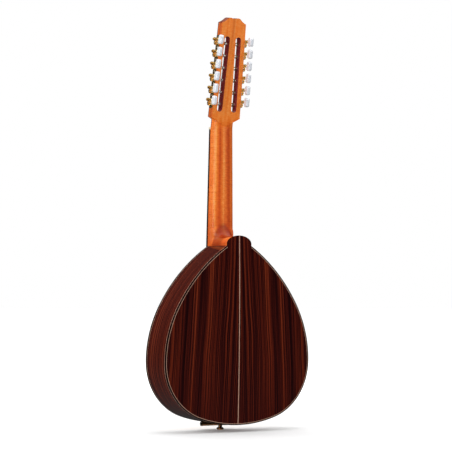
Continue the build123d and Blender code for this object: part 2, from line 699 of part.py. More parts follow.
# One string post with its gear, in the post's own axes: origin on the head's side face
POST_IN = SOCKET_DEPTH - 0.4
STRING_OUT = SLOT_LOW_X - HEAD_LOW_HALF - 1
GEAR_END = GEAR_OUT + GEAR_WIDTH / 2
with BuildPart() as post_pattern:
    with BuildSketch(Plane.XY.offset(-POST_IN)):
        Circle(POST_RADIUS)
    extrude(amount=POST_IN + GEAR_END - GEAR_WIDTH)
    with BuildSketch(Plane.XY.offset(GEAR_END - GEAR_WIDTH)):
        Circle(GEAR_ROOT_RADIUS)
    extrude(amount=GEAR_WIDTH)
    with PolarLocations(0, GEAR_TEETH, start_angle=180 / GEAR_TEETH):
        add(tooth.part)
    with BuildSketch(Plane.XY.offset(GEAR_END)):
        Circle(POST_CAP_RADIUS)
    extrude(amount=POST_CAP_LENGTH)
    fillet(post_pattern.faces().sort_by(Axis.Z)[-1].edges(), 0.5)
    with BuildSketch(Plane.XY.offset(GEAR_END + POST_CAP_LENGTH)):
        Rectangle(2 * POST_RADIUS, DRIVER_SLOT_WIDTH)
    extrude(amount=-DRIVER_SLOT_DEPTH, mode=Mode.SUBTRACT)
    with BuildSketch(Plane.YZ):
        with Locations((0, STRING_OUT)):
            Circle(STRING_HOLE_RADIUS)
    extrude(amount=2 * POST_RADIUS, both=True, mode=Mode.SUBTRACT)

# One worm on its shaft, in the worm's own axes: origin level with the gear
COLLAR_AT = LUG_OFFSET + LUG_THICKNESS + COLLAR_PLAY
SHAFT_FRONT = -COLLAR_AT - COLLAR_THICKNESS
BUTTON_LOW = BUTTON_N - POST_N - BUTTON_HEIGHT / 2
SHAFT_BACK = BUTTON_LOW + BUTTON_SOCKET


def worm_thread(crest_angle):
    """The worm's thread, with a crest at crest_angle halfway along it."""
    turn = 360 * WORM_LENGTH / GEAR_PITCH
    open_angle = WORM_CREST_TURN + degrees(acos(WORM_ROOT_RADIUS / WORM_TIP_RADIUS))
    with BuildSketch(Plane.XY.offset(-WORM_LENGTH / 2)) as section:
        with BuildLine():
            crest = CenterArc((0, 0), WORM_TIP_RADIUS, -WORM_CREST_TURN, 2 * WORM_CREST_TURN)
            root = CenterArc((0, 0), WORM_ROOT_RADIUS, open_angle, 360 - 2 * open_angle)
            Line(crest @ 1, root @ 0)
            Line(root @ 1, crest @ 0)
        make_face()
    start = Rotation(0, 0, crest_angle - turn / 2) * section.sketch
    return Solid.extrude_linear_with_rotation(
        start.face(), (0, 0, -WORM_LENGTH / 2), (0, 0, WORM_LENGTH), turn
    )


worm_patterns = {}
for side in SIDES.values():
    with BuildPart() as worm_pattern:
        add(worm_thread(90 * side))
        for low, high in ((SHAFT_FRONT, -WORM_LENGTH / 2), (WORM_LENGTH / 2, SHAFT_BACK)):
            with BuildSketch(Plane.XY.offset(low)):
                Circle(SHAFT_RADIUS)
            extrude(amount=high - low)
        for collar_low in (SHAFT_FRONT, COLLAR_AT):
            with BuildSketch(Plane.XY.offset(collar_low)):
                Circle(COLLAR_RADIUS)
            extrude(amount=COLLAR_THICKNESS)
    worm_patterns[side] = worm_pattern.part

with BuildPart() as button_pattern:
    with BuildSketch(Plane.YZ.offset(-BUTTON_THICKNESS / 2)):
        with Locations((0, BUTTON_N - POST_N)):
            RectangleRounded(BUTTON_LENGTH, BUTTON_HEIGHT, BUTTON_CORNER)
    extrude(amount=BUTTON_THICKNESS)
    fillet(button_pattern.faces().filter_by(Axis.X).edges(), BUTTON_EDGE)
    with BuildSketch(Plane.XY.offset(BUTTON_LOW - BUTTON_NECK_LENGTH)):
        Circle(BUTTON_NECK_RADIUS)
    extrude(amount=BUTTON_NECK_LENGTH + 1.5)
    with BuildSketch(Plane.XY):
        Circle(SHAFT_RADIUS)
    extrude(amount=SHAFT_BACK, mode=Mode.SUBTRACT)


def worm_plane(side, row):
    """Plane across one worm's axis at the gear's middle: z backwards, x outwards."""
    post = post_plane(side, row)
    centre = post.from_local_coords(Vector(WORM_DISTANCE, 0, GEAR_OUT))
    return Plane(origin=centre, x_dir=post.z_dir, z_dir=HEAD_BACK)


for side_name, side in SIDES.items():
    for row in range(TUNERS):
        with BuildPart(post_plane(side, row)) as post:
            add(post_pattern.part)
        save(post, f"post_{side_name}_{row + 1}")
        with BuildPart(worm_plane(side, row)) as worm:
            add(worm_patterns[side])
        save(worm, f"worm_{side_name}_{row + 1}")
        with BuildPart(worm_plane(side, row)) as button:
            add(button_pattern.part)
        save(button, f"button_{side_name}_{row + 1}")

# Strings: from the tail's roll over the saddle and the nut to the posts, the inner strings furthest
with BuildPart() as strings:
    for number, radius in enumerate(STRING_RADII):
        side = 1 if number >= TUNERS else -1
        row = STRING_COUNT - 1 - number if side > 0 else number
        at_bridge = string_x(number, SADDLE_SPREAD)
        post_s = FIRST_POST_S + row * POST_SPACING
        slot_x = SLOT_LOW_X - (post_s - SLOT_LOW_S) * tan(radians(SIDE_LEAN))
        post_x = slot_x - 1 + 0.4 * row
        with BuildLine() as route:
            FilletPolyline(
                (at_bridge, ROLL_HOLE_Y, -0.5),
                (at_bridge, SADDLE_TOP_Y - radius - 0.05, SADDLE_Z),
                (string_x(number, NUT_SPREAD), NUT_TOP_Y, NUT_Z + NUT_THICKNESS - 0.3),
                head_point(side * post_x, post_s, POST_N - POST_RADIUS - radius - 0.2),
                radius=STRING_BEND,
            )
        with BuildSketch(Plane(origin=route.line @ 0, z_dir=route.line % 0)):
            Circle(radius)
        sweep(path=route.line)
save(strings, "strings")
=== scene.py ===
"""Looks of the twelve-string laud: camera, materials, small detail pieces and studio."""

import json
from math import cos, pi, radians, sin, tan

import bmesh
import bpy
from mathutils import Matrix, Vector


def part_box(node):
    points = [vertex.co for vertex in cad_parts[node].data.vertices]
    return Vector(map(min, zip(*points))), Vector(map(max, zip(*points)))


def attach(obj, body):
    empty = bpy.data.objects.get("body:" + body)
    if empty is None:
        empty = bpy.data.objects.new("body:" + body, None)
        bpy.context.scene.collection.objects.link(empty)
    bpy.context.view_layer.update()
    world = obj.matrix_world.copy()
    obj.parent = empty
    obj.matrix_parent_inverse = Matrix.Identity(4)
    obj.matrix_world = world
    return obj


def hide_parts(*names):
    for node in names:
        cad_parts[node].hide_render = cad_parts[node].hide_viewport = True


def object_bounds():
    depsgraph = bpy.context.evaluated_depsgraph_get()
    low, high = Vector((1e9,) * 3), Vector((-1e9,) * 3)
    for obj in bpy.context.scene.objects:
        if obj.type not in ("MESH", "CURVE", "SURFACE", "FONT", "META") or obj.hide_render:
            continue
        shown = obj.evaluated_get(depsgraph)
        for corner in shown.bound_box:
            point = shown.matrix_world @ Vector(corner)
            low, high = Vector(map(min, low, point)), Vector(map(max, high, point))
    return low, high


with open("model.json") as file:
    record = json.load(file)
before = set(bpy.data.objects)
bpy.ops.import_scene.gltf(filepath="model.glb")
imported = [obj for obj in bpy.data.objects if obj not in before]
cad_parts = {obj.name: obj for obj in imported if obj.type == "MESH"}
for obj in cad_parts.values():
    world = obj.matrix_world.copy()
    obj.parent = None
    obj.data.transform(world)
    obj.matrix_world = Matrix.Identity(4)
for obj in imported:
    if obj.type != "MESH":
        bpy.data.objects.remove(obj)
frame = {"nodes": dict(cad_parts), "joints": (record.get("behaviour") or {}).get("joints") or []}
NODES = frame["nodes"]
JOINTS = {joint["name"]: joint for joint in frame["joints"]}
cad_box = [list(corner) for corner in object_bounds()]
MM = 0.001

# Sizes repeated from the frame's design, in millimetres
SIDES = {"treble": 1, "bass": -1}
TUNERS = 6
STRING_RADII = [0.38, 0.38, 0.30, 0.30, 0.24, 0.24, 0.20, 0.20, 0.16, 0.16, 0.14, 0.14]
STRING_COUNT = len(STRING_RADII)
SCALE_LENGTH = 482.0
NUT_Z = 607.0
SADDLE_Z = NUT_Z - SCALE_LENGTH
SADDLE_TOP_Y = -10.6
SADDLE_SPREAD = 58.0
COURSE_GAP = 2.2
ROLL_HOLE_Y = -7.5
HOLE_Z = 238.0
HEAD_Z = 608.4
HEAD_LOW_S = 24.2
HEAD_LOW_HALF_WIDTH = 33.5
SIDE_LEAN = radians(1.5)
POST_RADIUS = 3.4
POST_SPACING = 25.0
BUTTON_NECK = 13.0
NUT_HALF_WIDTH = 24.7
ROSETTE_INNER_RADIUS = 42.5
ROSETTE_MIDDLE_RADIUS = 45.5
ROSETTE_TILES = 48

# The head's own axes, read from one of the tuners' joints
HEAD_BACK = Vector(JOINTS["turn_treble_1"]["axis"])
HEAD_UP = Vector((1, 0, 0)).cross(HEAD_BACK)
HEAD_ORIGIN = Vector((0, 0, HEAD_Z))

# Camera
AZIMUTH = radians(149.01)
ELEVATION = radians(-1.89)
ROLL = radians(0.663)
DISTANCE = 3.552
TARGET = Vector((0, 0.0392, 0.4056))
TARGET_SHIFT = -0.00693
LENS = 137.33
SENSOR = 36.0
BACKWARDS = Vector((sin(AZIMUTH) * cos(ELEVATION), -cos(AZIMUTH) * cos(ELEVATION), sin(ELEVATION)))


def add_camera():
    """The camera, level but for a slight roll, looking at the object's middle."""
    level = (-BACKWARDS).cross(Vector((0, 0, 1))).normalized()
    lift = level.cross(-BACKWARDS)
    right = level * cos(ROLL) + lift * sin(ROLL)
    up = lift * cos(ROLL) - level * sin(ROLL)
    data = bpy.data.cameras.new("camera")
    data.lens = LENS
    data.sensor_width = SENSOR
    data.clip_end = 60
    camera = bpy.data.objects.new("camera", data)
    bpy.context.scene.collection.objects.link(camera)
    place = TARGET + right * TARGET_SHIFT + BACKWARDS * DISTANCE
    turned = Matrix((right, up, BACKWARDS)).transposed().to_4x4()
    camera.matrix_world = Matrix.Translation(place) @ turned
    bpy.context.scene.camera = camera


add_camera()


# Tools for materials
def linear(red, green, blue):
    """A colour given from 0 to 255 as it looks on a screen, turned into shader values."""
    def curve(level):
        level /= 255
        return level / 12.92 if level <= 0.04045 else ((level + 0.055) / 1.055) ** 2.4
    return (curve(red), curve(green), curve(blue), 1.0)


class Shader:
    """A material under construction: short calls that add nodes and join them."""

    def __init__(self, name, roughness, **constants):
        self.material = bpy.data.materials.new(name)
        self.material.use_nodes = True
        self.tree = self.material.node_tree
        self.surface = self.tree.nodes["Principled BSDF"]
        self.set("Roughness", roughness)
        for socket, value in constants.items():
            self.set(socket.replace("_", " "), value)

    def set(self, socket, value):
        """Gives one socket of the surface a value or another node's result."""
        self.join(value, self.surface.inputs[socket])

    def join(self, value, socket):
        """Gives a socket a value or another node's result."""
        if isinstance(value, bpy.types.NodeSocket):
            self.tree.links.new(value, socket)
        else:
            socket.default_value = value

    def node(self, kind, inputs, output=0, **settings):
        """Adds a node and returns one of its results."""
        made = self.tree.nodes.new(kind)
        for name, value in settings.items():
            setattr(made, name, value)
        for name, value in inputs.items():
            self.join(value, made.inputs[name])
        return made.outputs[output]

    def place(self):
        """Where the point lies on the object at rest, in millimetres."""
        where = self.node("ShaderNodeTexCoord", {}, "Object")
        return self.node("ShaderNodeMapping", {"Vector": where, "Scale": (1000, 1000, 1000)})

    def split(self, vector):
        """The three parts of a vector."""
        made = self.tree.nodes.new("ShaderNodeSeparateXYZ")
        self.join(vector, made.inputs[0])
        return list(made.outputs)

    def along(self, vector, direction, start=(0, 0, 0)):
        """How far a point lies in a direction from start."""
        moved = self.node("ShaderNodeVectorMath", {0: vector, 1: start}, operation="SUBTRACT")
        inputs = {0: moved, 1: direction}
        return self.node("ShaderNodeVectorMath", inputs, "Value", operation="DOT_PRODUCT")

    def math(self, operation, first, second=0.0, third=0.0):
        """One step of arithmetic."""
        return self.node("ShaderNodeMath", {0: first, 1: second, 2: third}, operation=operation)

    def total(self, *terms):
        """The sum of (value, share) pairs."""
        result = 0.0
        for value, share in terms:
            result = self.math("MULTIPLY_ADD", value, share, result)
        return result

    def noise(self, vector, scale=1.0, detail=2.0, roughness=0.5):
        """Noise about a mean of 0.5."""
        return self.node("ShaderNodeTexNoise", {
            "Vector": vector, "Scale": scale, "Detail": detail, "Roughness": roughness,
        })

    def grain(self, across, lengthways, seed, width, length, detail=2.0):
        """Noise drawn out along the grain: width and length are a streak's size."""
        vector = self.node("ShaderNodeCombineXYZ", {
            0: self.math("MULTIPLY", across, 1 / width),
            1: self.math("MULTIPLY", lengthways, 1 / length),
            2: seed,
        })
        return self.noise(vector, 1.0, detail)

    def span(self, value, low, high):
        """0 at low, 1 at high, and a smooth step between them."""
        inputs = {"Value": value, "From Min": low, "From Max": high}
        return self.node("ShaderNodeMapRange", inputs, interpolation_type="SMOOTHSTEP")

    def ramp(self, value, *stops):
        """The colour at value on a ramp of (place, colour) stops."""
        made = self.tree.nodes.new("ShaderNodeValToRGB")
        self.join(value, made.inputs[0])
        elements = made.color_ramp.elements
        while len(elements) < len(stops):
            elements.new(0.5)
        for element, (place, colour) in zip(elements, stops):
            element.position = place
            element.color = colour
        return made.outputs[0]

    def mix(self, share, first, second, blend="MIX"):
        """Mixes two colours."""
        made = self.tree.nodes.new("ShaderNodeMix")
        made.data_type = "RGBA"
        made.blend_type = blend
        self.join(share, made.inputs[0])
        self.join(first, made.inputs[6])
        self.join(second, made.inputs[7])
        return made.outputs[2]

    def bump(self, height, strength, distance):
        """Raises the surface by height, up to distance in metres."""
        self.set("Normal", self.node("ShaderNodeBump", {
            "Height": height, "Strength": strength, "Distance": distance,
        }))


# Directions of the grain: each gives (across, lengthways) in millimetres
def plate_grain(shader):
    """Two halves opened like a book, with the grain fanning out a little towards the tail."""
    x, _, z = shader.split(shader.place())
    across = shader.math("MULTIPLY_ADD", z, 0.05, shader.math("ABSOLUTE", x))
    return across, z


def straight_grain(shader):
    """Grain straight up the object."""
    x, y, z = shader.split(shader.place())
    return shader.math("MULTIPLY_ADD", y, 0.7, x), z


def rim_grain(shader):
    """Grain that follows the bent sides."""
    x, y, z = shader.split(shader.place())
    turn = shader.math("ARCTAN2", x, shader.math("SUBTRACT", z, 160.0))
    return y, shader.math("MULTIPLY", turn, 170.0)


def crossways_grain(shader):
    """Grain across the object."""
    x, y, z = shader.split(shader.place())
    return shader.math("ADD", y, z), x


# Materials of wood
ROSEWOOD = (
    (0.0, linear(26, 4, 6)),
    (0.34, linear(45, 10, 9)),
    (0.62, linear(84, 25, 13)),
    (1.0, linear(132, 54, 27)),
)
RIB_WOOD = (
    (0.0, linear(40, 11, 10)),
    (0.34, linear(64, 20, 14)),
    (0.62, linear(92, 34, 21)),
    (1.0, linear(132, 60, 38)),
)


def rosewood(name, axes, seed, coat_roughness=0.05, stops=ROSEWOOD):
    """Dark rosewood: long red-brown and black streaks with fine pores, under gloss lacquer."""
    shader = Shader(
        name, 0.5, Coat_Weight=0.8, Coat_Roughness=coat_roughness, Specular_IOR_Level=0.0
    )
    across, lengthways = axes(shader)
    drift = shader.grain(across, lengthways, seed + 40, 55, 300)
    across = shader.math("MULTIPLY_ADD", drift, 16.0, across)
    broad = shader.grain(across, lengthways, seed, 19, 1300)
    bands = shader.grain(across, lengthways, seed + 10, 2.7, 900, 3.0)
    lines = shader.grain(across, lengthways, seed + 20, 1.1, 360)
    mixed = shader.total((broad, 0.34), (bands, 0.62), (lines, 0.6))
    colour = shader.ramp(shader.math("MULTIPLY_ADD", mixed, 2.9, -1.87), *stops)
    pores = shader.grain(across, lengthways, seed + 30, 0.22, 5.0, 1.0)
    pores = shader.span(pores, 0.62, 0.72)
    shader.set("Base Color", shader.mix(pores, colour, linear(14, 5, 7)))
    shader.bump(pores, -0.25, 0.00004)
    return shader.material


def cedro():
    """Orange-brown Spanish cedar of the neck: ribbon streaks and pores, with painted highlight bands on
    the shaft and painted shade in the slots, the heel's scoop, the head's flanks and its top edge.
    """
    shader = Shader("neck_cedro", 0.5, Coat_Weight=0.45, Coat_Roughness=0.3, Specular_IOR_Level=0.0)
    place = shader.place()
    x, y, z = shader.split(place)
    across = shader.math("MULTIPLY_ADD", y, 0.35, x)
    drift = shader.grain(across, z, 3.0, 30, 260)
    across = shader.math("MULTIPLY_ADD", drift, 7.0, across)
    ribbons = shader.grain(across, z, 11.0, 7.5, 900)
    fibres = shader.grain(across, z, 17.0, 1.1, 160)
    mottle = shader.grain(across, z, 23.0, 7.0, 9.0, 3.0)
    curl = shader.noise(shader.node("ShaderNodeCombineXYZ", {
        0: shader.math("MULTIPLY", x, 0.11), 1: shader.math("MULTIPLY", z, 0.42), 2: 31.0,
    }), 1.0, 2.0)

    # Light and dark bands run up the shaft: painted highlight bands laid over the ribbon figure, with a
    # faint curl across them
    wander = shader.math("MULTIPLY_ADD", drift, 9.0, shader.math("SUBTRACT", x, 4.5))
    highlight_bands = shader.ramp(
        shader.math("MULTIPLY_ADD", wander, 1 / 56, 0.5),
        (0.0, (0.4, 0.4, 0.4, 1)), (0.2, (0.75, 0.75, 0.75, 1)), (0.32, (0.12, 0.12, 0.12, 1)),
        (0.42, (0.3, 0.3, 0.3, 1)), (0.54, (0.95, 0.95, 0.95, 1)), (0.7, (0.15, 0.15, 0.15, 1)),
        (0.85, (1, 1, 1, 1)), (1.0, (0.5, 0.5, 0.5, 1)),
    )
    shaft = shader.span(z, 640.0, 600.0)
    even = shader.mix(shaft, (0.95, 0.95, 0.95, 1), highlight_bands)
    mixed = shader.total((ribbons, 0.45), (fibres, 0.35), (mottle, 0.25), (curl, 0.35))
    colour = shader.ramp(
        shader.total((mixed, 1.3), (even, 0.75), (1.0, -0.9)),
        (0.0, linear(182, 62, 14)),
        (0.3, linear(216, 90, 24)),
        (0.62, linear(241, 126, 44)),
        (1.0, linear(255, 180, 96)),
    )
    pores = shader.span(shader.grain(across, z, 29.0, 0.28, 4.5, 1.0), 0.63, 0.7)
    colour = shader.mix(shader.math("MULTIPLY", pores, 0.6), colour, linear(136, 50, 14))

    # The heel turns a deeper red lower down, and its scoop carries painted shade: a dark red patch for the
    # shadow in the hollow
    heel = shader.span(z, 452.0, 392.0)
    colour = shader.mix(shader.math("MULTIPLY", heel, 0.4), colour, linear(186, 68, 26))
    off_ridge = shader.math("SUBTRACT", x, 4.0)
    hill = shader.math("MULTIPLY_ADD", shader.math("MULTIPLY", off_ridge, off_ridge), 0.05, z)
    scoop_shade = shader.math("MULTIPLY", shader.span(y, 15.0, 20.0), shader.span(hill, 415.0, 404.0))
    scoop_shade = shader.math("MULTIPLY", scoop_shade, shader.span(y, 62.0, 46.0))
    colour = shader.mix(shader.math("MULTIPLY", scoop_shade, 0.7), colour, linear(132, 30, 4))

    # The head is a little redder, with a dark join in its middle above the slots
    on_head = shader.math("MULTIPLY", shader.span(z, 606.0, 622.0), 0.3)
    colour = shader.mix(on_head, colour, linear(255, 122, 14))
    off_join = shader.math("MULTIPLY_ADD", drift, 2.0, shader.math("SUBTRACT", x, 1.0))
    from_middle = shader.math("ABSOLUTE", off_join)
    join = shader.math("MULTIPLY", shader.span(from_middle, 6.0, 0.5), shader.span(z, 750.0, 800.0))
    colour = shader.mix(shader.math("MULTIPLY", join, 0.3), colour, linear(180, 70, 24))

    # The walls of the string slots carry painted shade: dark red for the shadow inside the slots
    start = tuple(HEAD_ORIGIN)
    up = shader.along(place, tuple(HEAD_UP), start)
    back = shader.along(place, tuple(HEAD_BACK), start)
    slot_x = shader.math("MULTIPLY_ADD", up, -tan(SIDE_LEAN), 18.16)
    sideways = shader.math("ABSOLUTE", x)
    off_slot = shader.math("ABSOLUTE", shader.math("SUBTRACT", sideways, slot_x))
    inside = shader.math("LESS_THAN", off_slot, 6.36)
    for limit, operation, value in ((up, "GREATER_THAN", 24.0), (up, "LESS_THAN", 192.6),
                                    (back, "LESS_THAN", 16.94), (back, "GREATER_THAN", -0.5)):
        inside = shader.math("MULTIPLY", inside, shader.math(operation, limit, value))
    slot_shade = shader.mix(mottle, linear(116, 30, 34), linear(170, 60, 60))

    # The head's flanks carry painted shade, a little darker, with a dark joint line along them, and its
    # top edge is painted dark as shade
    below = shader.math("LESS_THAN", back, 16.7)
    half_at_zero = HEAD_LOW_HALF_WIDTH + HEAD_LOW_S * tan(SIDE_LEAN) - 0.4
    half = shader.math("MULTIPLY_ADD", up, -tan(SIDE_LEAN), half_at_zero)
    flank = shader.math("GREATER_THAN", sideways, half)
    above_base = shader.math("MULTIPLY", below, shader.span(up, 20.0, 24.0))
    flank = shader.math("MULTIPLY", flank, above_base)
    line = shader.math("MULTIPLY", shader.span(back, 6.5, 8.5), shader.span(back, 11.5, 9.5))
    flank_shade_and_joint = shader.mix(line, linear(186, 74, 26), linear(116, 40, 18))
    colour = shader.mix(shader.math("MULTIPLY", flank, 0.75), colour, flank_shade_and_joint)
    crest_shade = shader.math("MULTIPLY", below, shader.math("GREATER_THAN", up, 219.0))
    colour = shader.mix(shader.math("MULTIPLY", crest_shade, 0.9), colour, linear(96, 30, 24))
    # The painted shade of the slot walls goes over all the rest
    shader.set("Base Color", shader.mix(inside, colour, slot_shade))
    shader.bump(pores, -0.3, 0.00004)
    return shader.material


def spruce(name, axes, light, dark, ring, gloss):
    """Straight-grained softwood: pale early wood, thin dark late-wood lines and silky flecks."""
    shader = Shader(name, 0.5, Coat_Weight=gloss, Coat_Roughness=0.07)
    across, lengthways = axes(shader)
    drift = shader.grain(across, lengthways, 5.0, 40, 500)
    across = shader.math("MULTIPLY_ADD", drift, 8.0, across)
    year = shader.math("FRACT", shader.math("MULTIPLY", across, 1 / ring))
    late = shader.math("POWER", year, 5.0)
    tone = shader.grain(across, lengthways, 9.0, 6.0, 300)
    colour = shader.mix(tone, light, tuple(0.82 * part for part in light[:3]) + (1.0,))
    colour = shader.mix(shader.math("MULTIPLY", late, 0.6), colour, dark)
    silk = shader.span(shader.grain(across, lengthways, 13.0, 3.0, 1.0, 3.0), 0.6, 0.75)
    brighter = tuple(min(1.0, 1.12 * part) for part in light[:3]) + (1.0,)
    shader.set("Base Color", shader.mix(shader.math("MULTIPLY", silk, 0.35), colour, brighter))
    shader.bump(late, 0.2, 0.00004)
    return shader.material


def pale_line():
    """Pale maple of the purfling and the back's centre strip."""
    shader = Shader("maple_line", 0.4, Coat_Weight=1.0, Coat_Roughness=0.06)
    across, lengthways = straight_grain(shader)
    tone = shader.grain(across, lengthways, 2.0, 0.5, 14)
    colour = shader.ramp(tone, (0.3, linear(166, 122, 102)), (0.7, linear(214, 174, 148)))
    shader.set("Base Color", colour)
    return shader.material


def ebony(name, axes):
    """Ebony: near black with faint brown streaks and open pores, oiled to a satin."""
    shader = Shader(name, 0.36, Specular_IOR_Level=0.45)
    across, lengthways = axes(shader)
    streaks = shader.grain(across, lengthways, 4.0, 2.4, 120)
    colour = shader.ramp(
        streaks, (0.35, linear(20, 15, 16)), (0.6, linear(38, 27, 25)), (0.8, linear(64, 42, 34))
    )
    pores = shader.span(shader.grain(across, lengthways, 6.0, 0.2, 3.0, 1.0), 0.62, 0.7)
    shader.set("Base Color", shader.mix(pores, colour, linear(9, 7, 8)))
    shader.set("Roughness", shader.math("MULTIPLY_ADD", streaks, 0.25, 0.24))
    shader.bump(pores, -0.4, 0.00005)
    return shader.material


def marquetry():
    """The rosette: small diamond tiles between rings of dark and pale lines."""
    shader = Shader("marquetry", 0.4, Coat_Weight=1.0, Coat_Roughness=0.06)
    x, _, z = shader.split(shader.place())
    up = shader.math("SUBTRACT", z, HOLE_Z)
    squares = shader.math("ADD", shader.math("MULTIPLY", x, x), shader.math("MULTIPLY", up, up))
    radius = shader.math("SQRT", squares)
    turn = shader.math("MULTIPLY", shader.math("ARCTAN2", x, up), ROSETTE_TILES / (2 * pi))

    def triangle(value):
        """A wave from 0 to 1 and back once a unit."""
        return shader.math("PINGPONG", value, 0.5)

    past_inner = shader.math("SUBTRACT", radius, ROSETTE_INNER_RADIUS)
    across = triangle(shader.math("MULTIPLY", past_inner, 1 / 6.0))
    diamond = shader.math("ADD", triangle(turn), across)
    tile = shader.math("LESS_THAN", diamond, 0.5)
    off_core = shader.math("ABSOLUTE", shader.math("SUBTRACT", diamond, 0.72))
    core = shader.math("LESS_THAN", off_core, 0.09)
    grain = shader.noise(shader.place(), 0.8, 3.0)
    pale = shader.mix(grain, linear(196, 150, 96), linear(226, 190, 140))
    colour = shader.mix(tile, linear(58, 24, 16), pale)
    colour = shader.mix(core, colour, linear(52, 74, 44))
    pale_ring = shader.math("GREATER_THAN", triangle(radius), 0.25)
    lines = shader.mix(pale_ring, linear(24, 14, 12), linear(216, 184, 140))
    off_middle = shader.math("ABSOLUTE", shader.math("SUBTRACT", radius, ROSETTE_MIDDLE_RADIUS))
    border = shader.math("GREATER_THAN", off_middle, 3.0)
    shader.set("Base Color", shader.mix(border, colour, lines))
    return shader.material


# Materials of metal, bone and pearl
def metal(name, bright, dull, roughness, tarnish_and_shade, scale):
    """Plated metal: polish marks, duller patches and a fine scratch pattern; the duller patches are
    tarnish, and on the gold also painted shade.
    """
    shader = Shader(name, roughness, Metallic=1.0)
    place = shader.place()
    # Duller patches: tarnish, and on the gold painted shade as well
    patches = shader.span(shader.noise(place, scale, 4.0, 0.6), 0.35, 0.7)
    shader.set("Base Color", shader.mix(shader.math("MULTIPLY", patches, tarnish_and_shade), bright, dull))
    x, y, z = shader.split(place)
    brushed = shader.grain(shader.math("ADD", x, y), z, 8.0, 0.12, 5.0)
    rough = shader.total((patches, 0.5 * roughness), (brushed, 0.5 * roughness))
    shader.set("Roughness", shader.math("ADD", rough, 0.4 * roughness))
    shader.bump(brushed, 0.08, 0.00003)
    return shader.material


def post_metal(side_name):
    """A roller's nickel barrel and its gold gear, told apart by how far out they lie."""
    joint = JOINTS[f"wind_{side_name}_1"]
    shader = Shader(f"post_metal_{side_name}", 0.22, Metallic=1.0)
    place = shader.place()
    out = shader.along(place, tuple(joint["axis"]), tuple(part / MM for part in joint["pos_m"]))
    gear = shader.math("GREATER_THAN", out, 4.6)
    patches = shader.span(shader.noise(place, 0.5, 3.0), 0.35, 0.7)
    nickel = shader.mix(patches, linear(240, 236, 228), linear(204, 196, 184))
    gold = shader.mix(patches, linear(252, 214, 138), linear(206, 148, 72))
    shader.set("Base Color", shader.mix(gear, nickel, gold))
    rings = shader.grain(out, 0.0, 5.0, 0.15, 1.0)
    shader.set("Roughness", shader.math("MULTIPLY_ADD", rings, 0.2, 0.12))
    shader.bump(rings, 0.1, 0.00003)
    return shader.material


def pearl():
    """Pearl plastic: milky swirls with a cool and a warm sheen under a hard gloss."""
    shader = Shader(
        "pearl", 0.22, Coat_Weight=0.6, Coat_Roughness=0.05, Sheen_Weight=0.15,
        Subsurface_Weight=0.05, Subsurface_Radius=(0.002, 0.002, 0.002), Subsurface_Scale=1.0,
    )
    place = shader.place()
    warp = shader.node("ShaderNodeTexNoise", {"Vector": place, "Scale": 0.12, "Detail": 2.0}, "Color")
    bent = shader.node("ShaderNodeVectorMath", {0: place, 1: warp, 2: (0, 0, 0)}, operation="ADD")
    swirl = shader.noise(bent, 0.35, 4.0, 0.6)
    colour = shader.ramp(
        swirl,
        (0.3, linear(218, 224, 236)),
        (0.5, linear(240, 243, 250)),
        (0.7, linear(226, 230, 230)),
    )
    shader.set("Base Color", colour)
    shader.set("Roughness", shader.math("MULTIPLY_ADD", swirl, 0.2, 0.12))
    return shader.material


def bone():
    """Bone of the nut and saddle: ivory with faint darker pores."""
    shader = Shader("bone", 0.38, Subsurface_Weight=0.1, Subsurface_Radius=(0.002, 0.0015, 0.001))
    place = shader.place()
    tone = shader.noise(place, 0.25, 3.0)
    spots = shader.span(shader.noise(place, 3.5, 2.0), 0.66, 0.74)
    colour = shader.mix(tone, linear(236, 226, 200), linear(220, 204, 168))
    specks = shader.math("MULTIPLY", spots, 0.5)
    shader.set("Base Color", shader.mix(specks, colour, linear(170, 148, 112)))
    shader.bump(spots, -0.2, 0.00004)
    return shader.material


def wound_string():
    """Strings: wound bronze on the bass side, plain bright steel on the treble side."""
    shader = Shader("string_steel", 0.25, Metallic=1.0)
    x, _, z = shader.split(shader.place())
    turns = shader.math("PINGPONG", shader.math("MULTIPLY", z, 1 / 0.3), 0.5)
    bass = shader.math("LESS_THAN", x, -1.0)
    bronze = shader.mix(turns, linear(120, 84, 52), linear(212, 170, 118))
    shader.set("Base Color", shader.mix(bass, linear(206, 206, 208), bronze))
    shader.bump(shader.math("MULTIPLY", turns, bass), 0.4, 0.00005)
    return shader.material


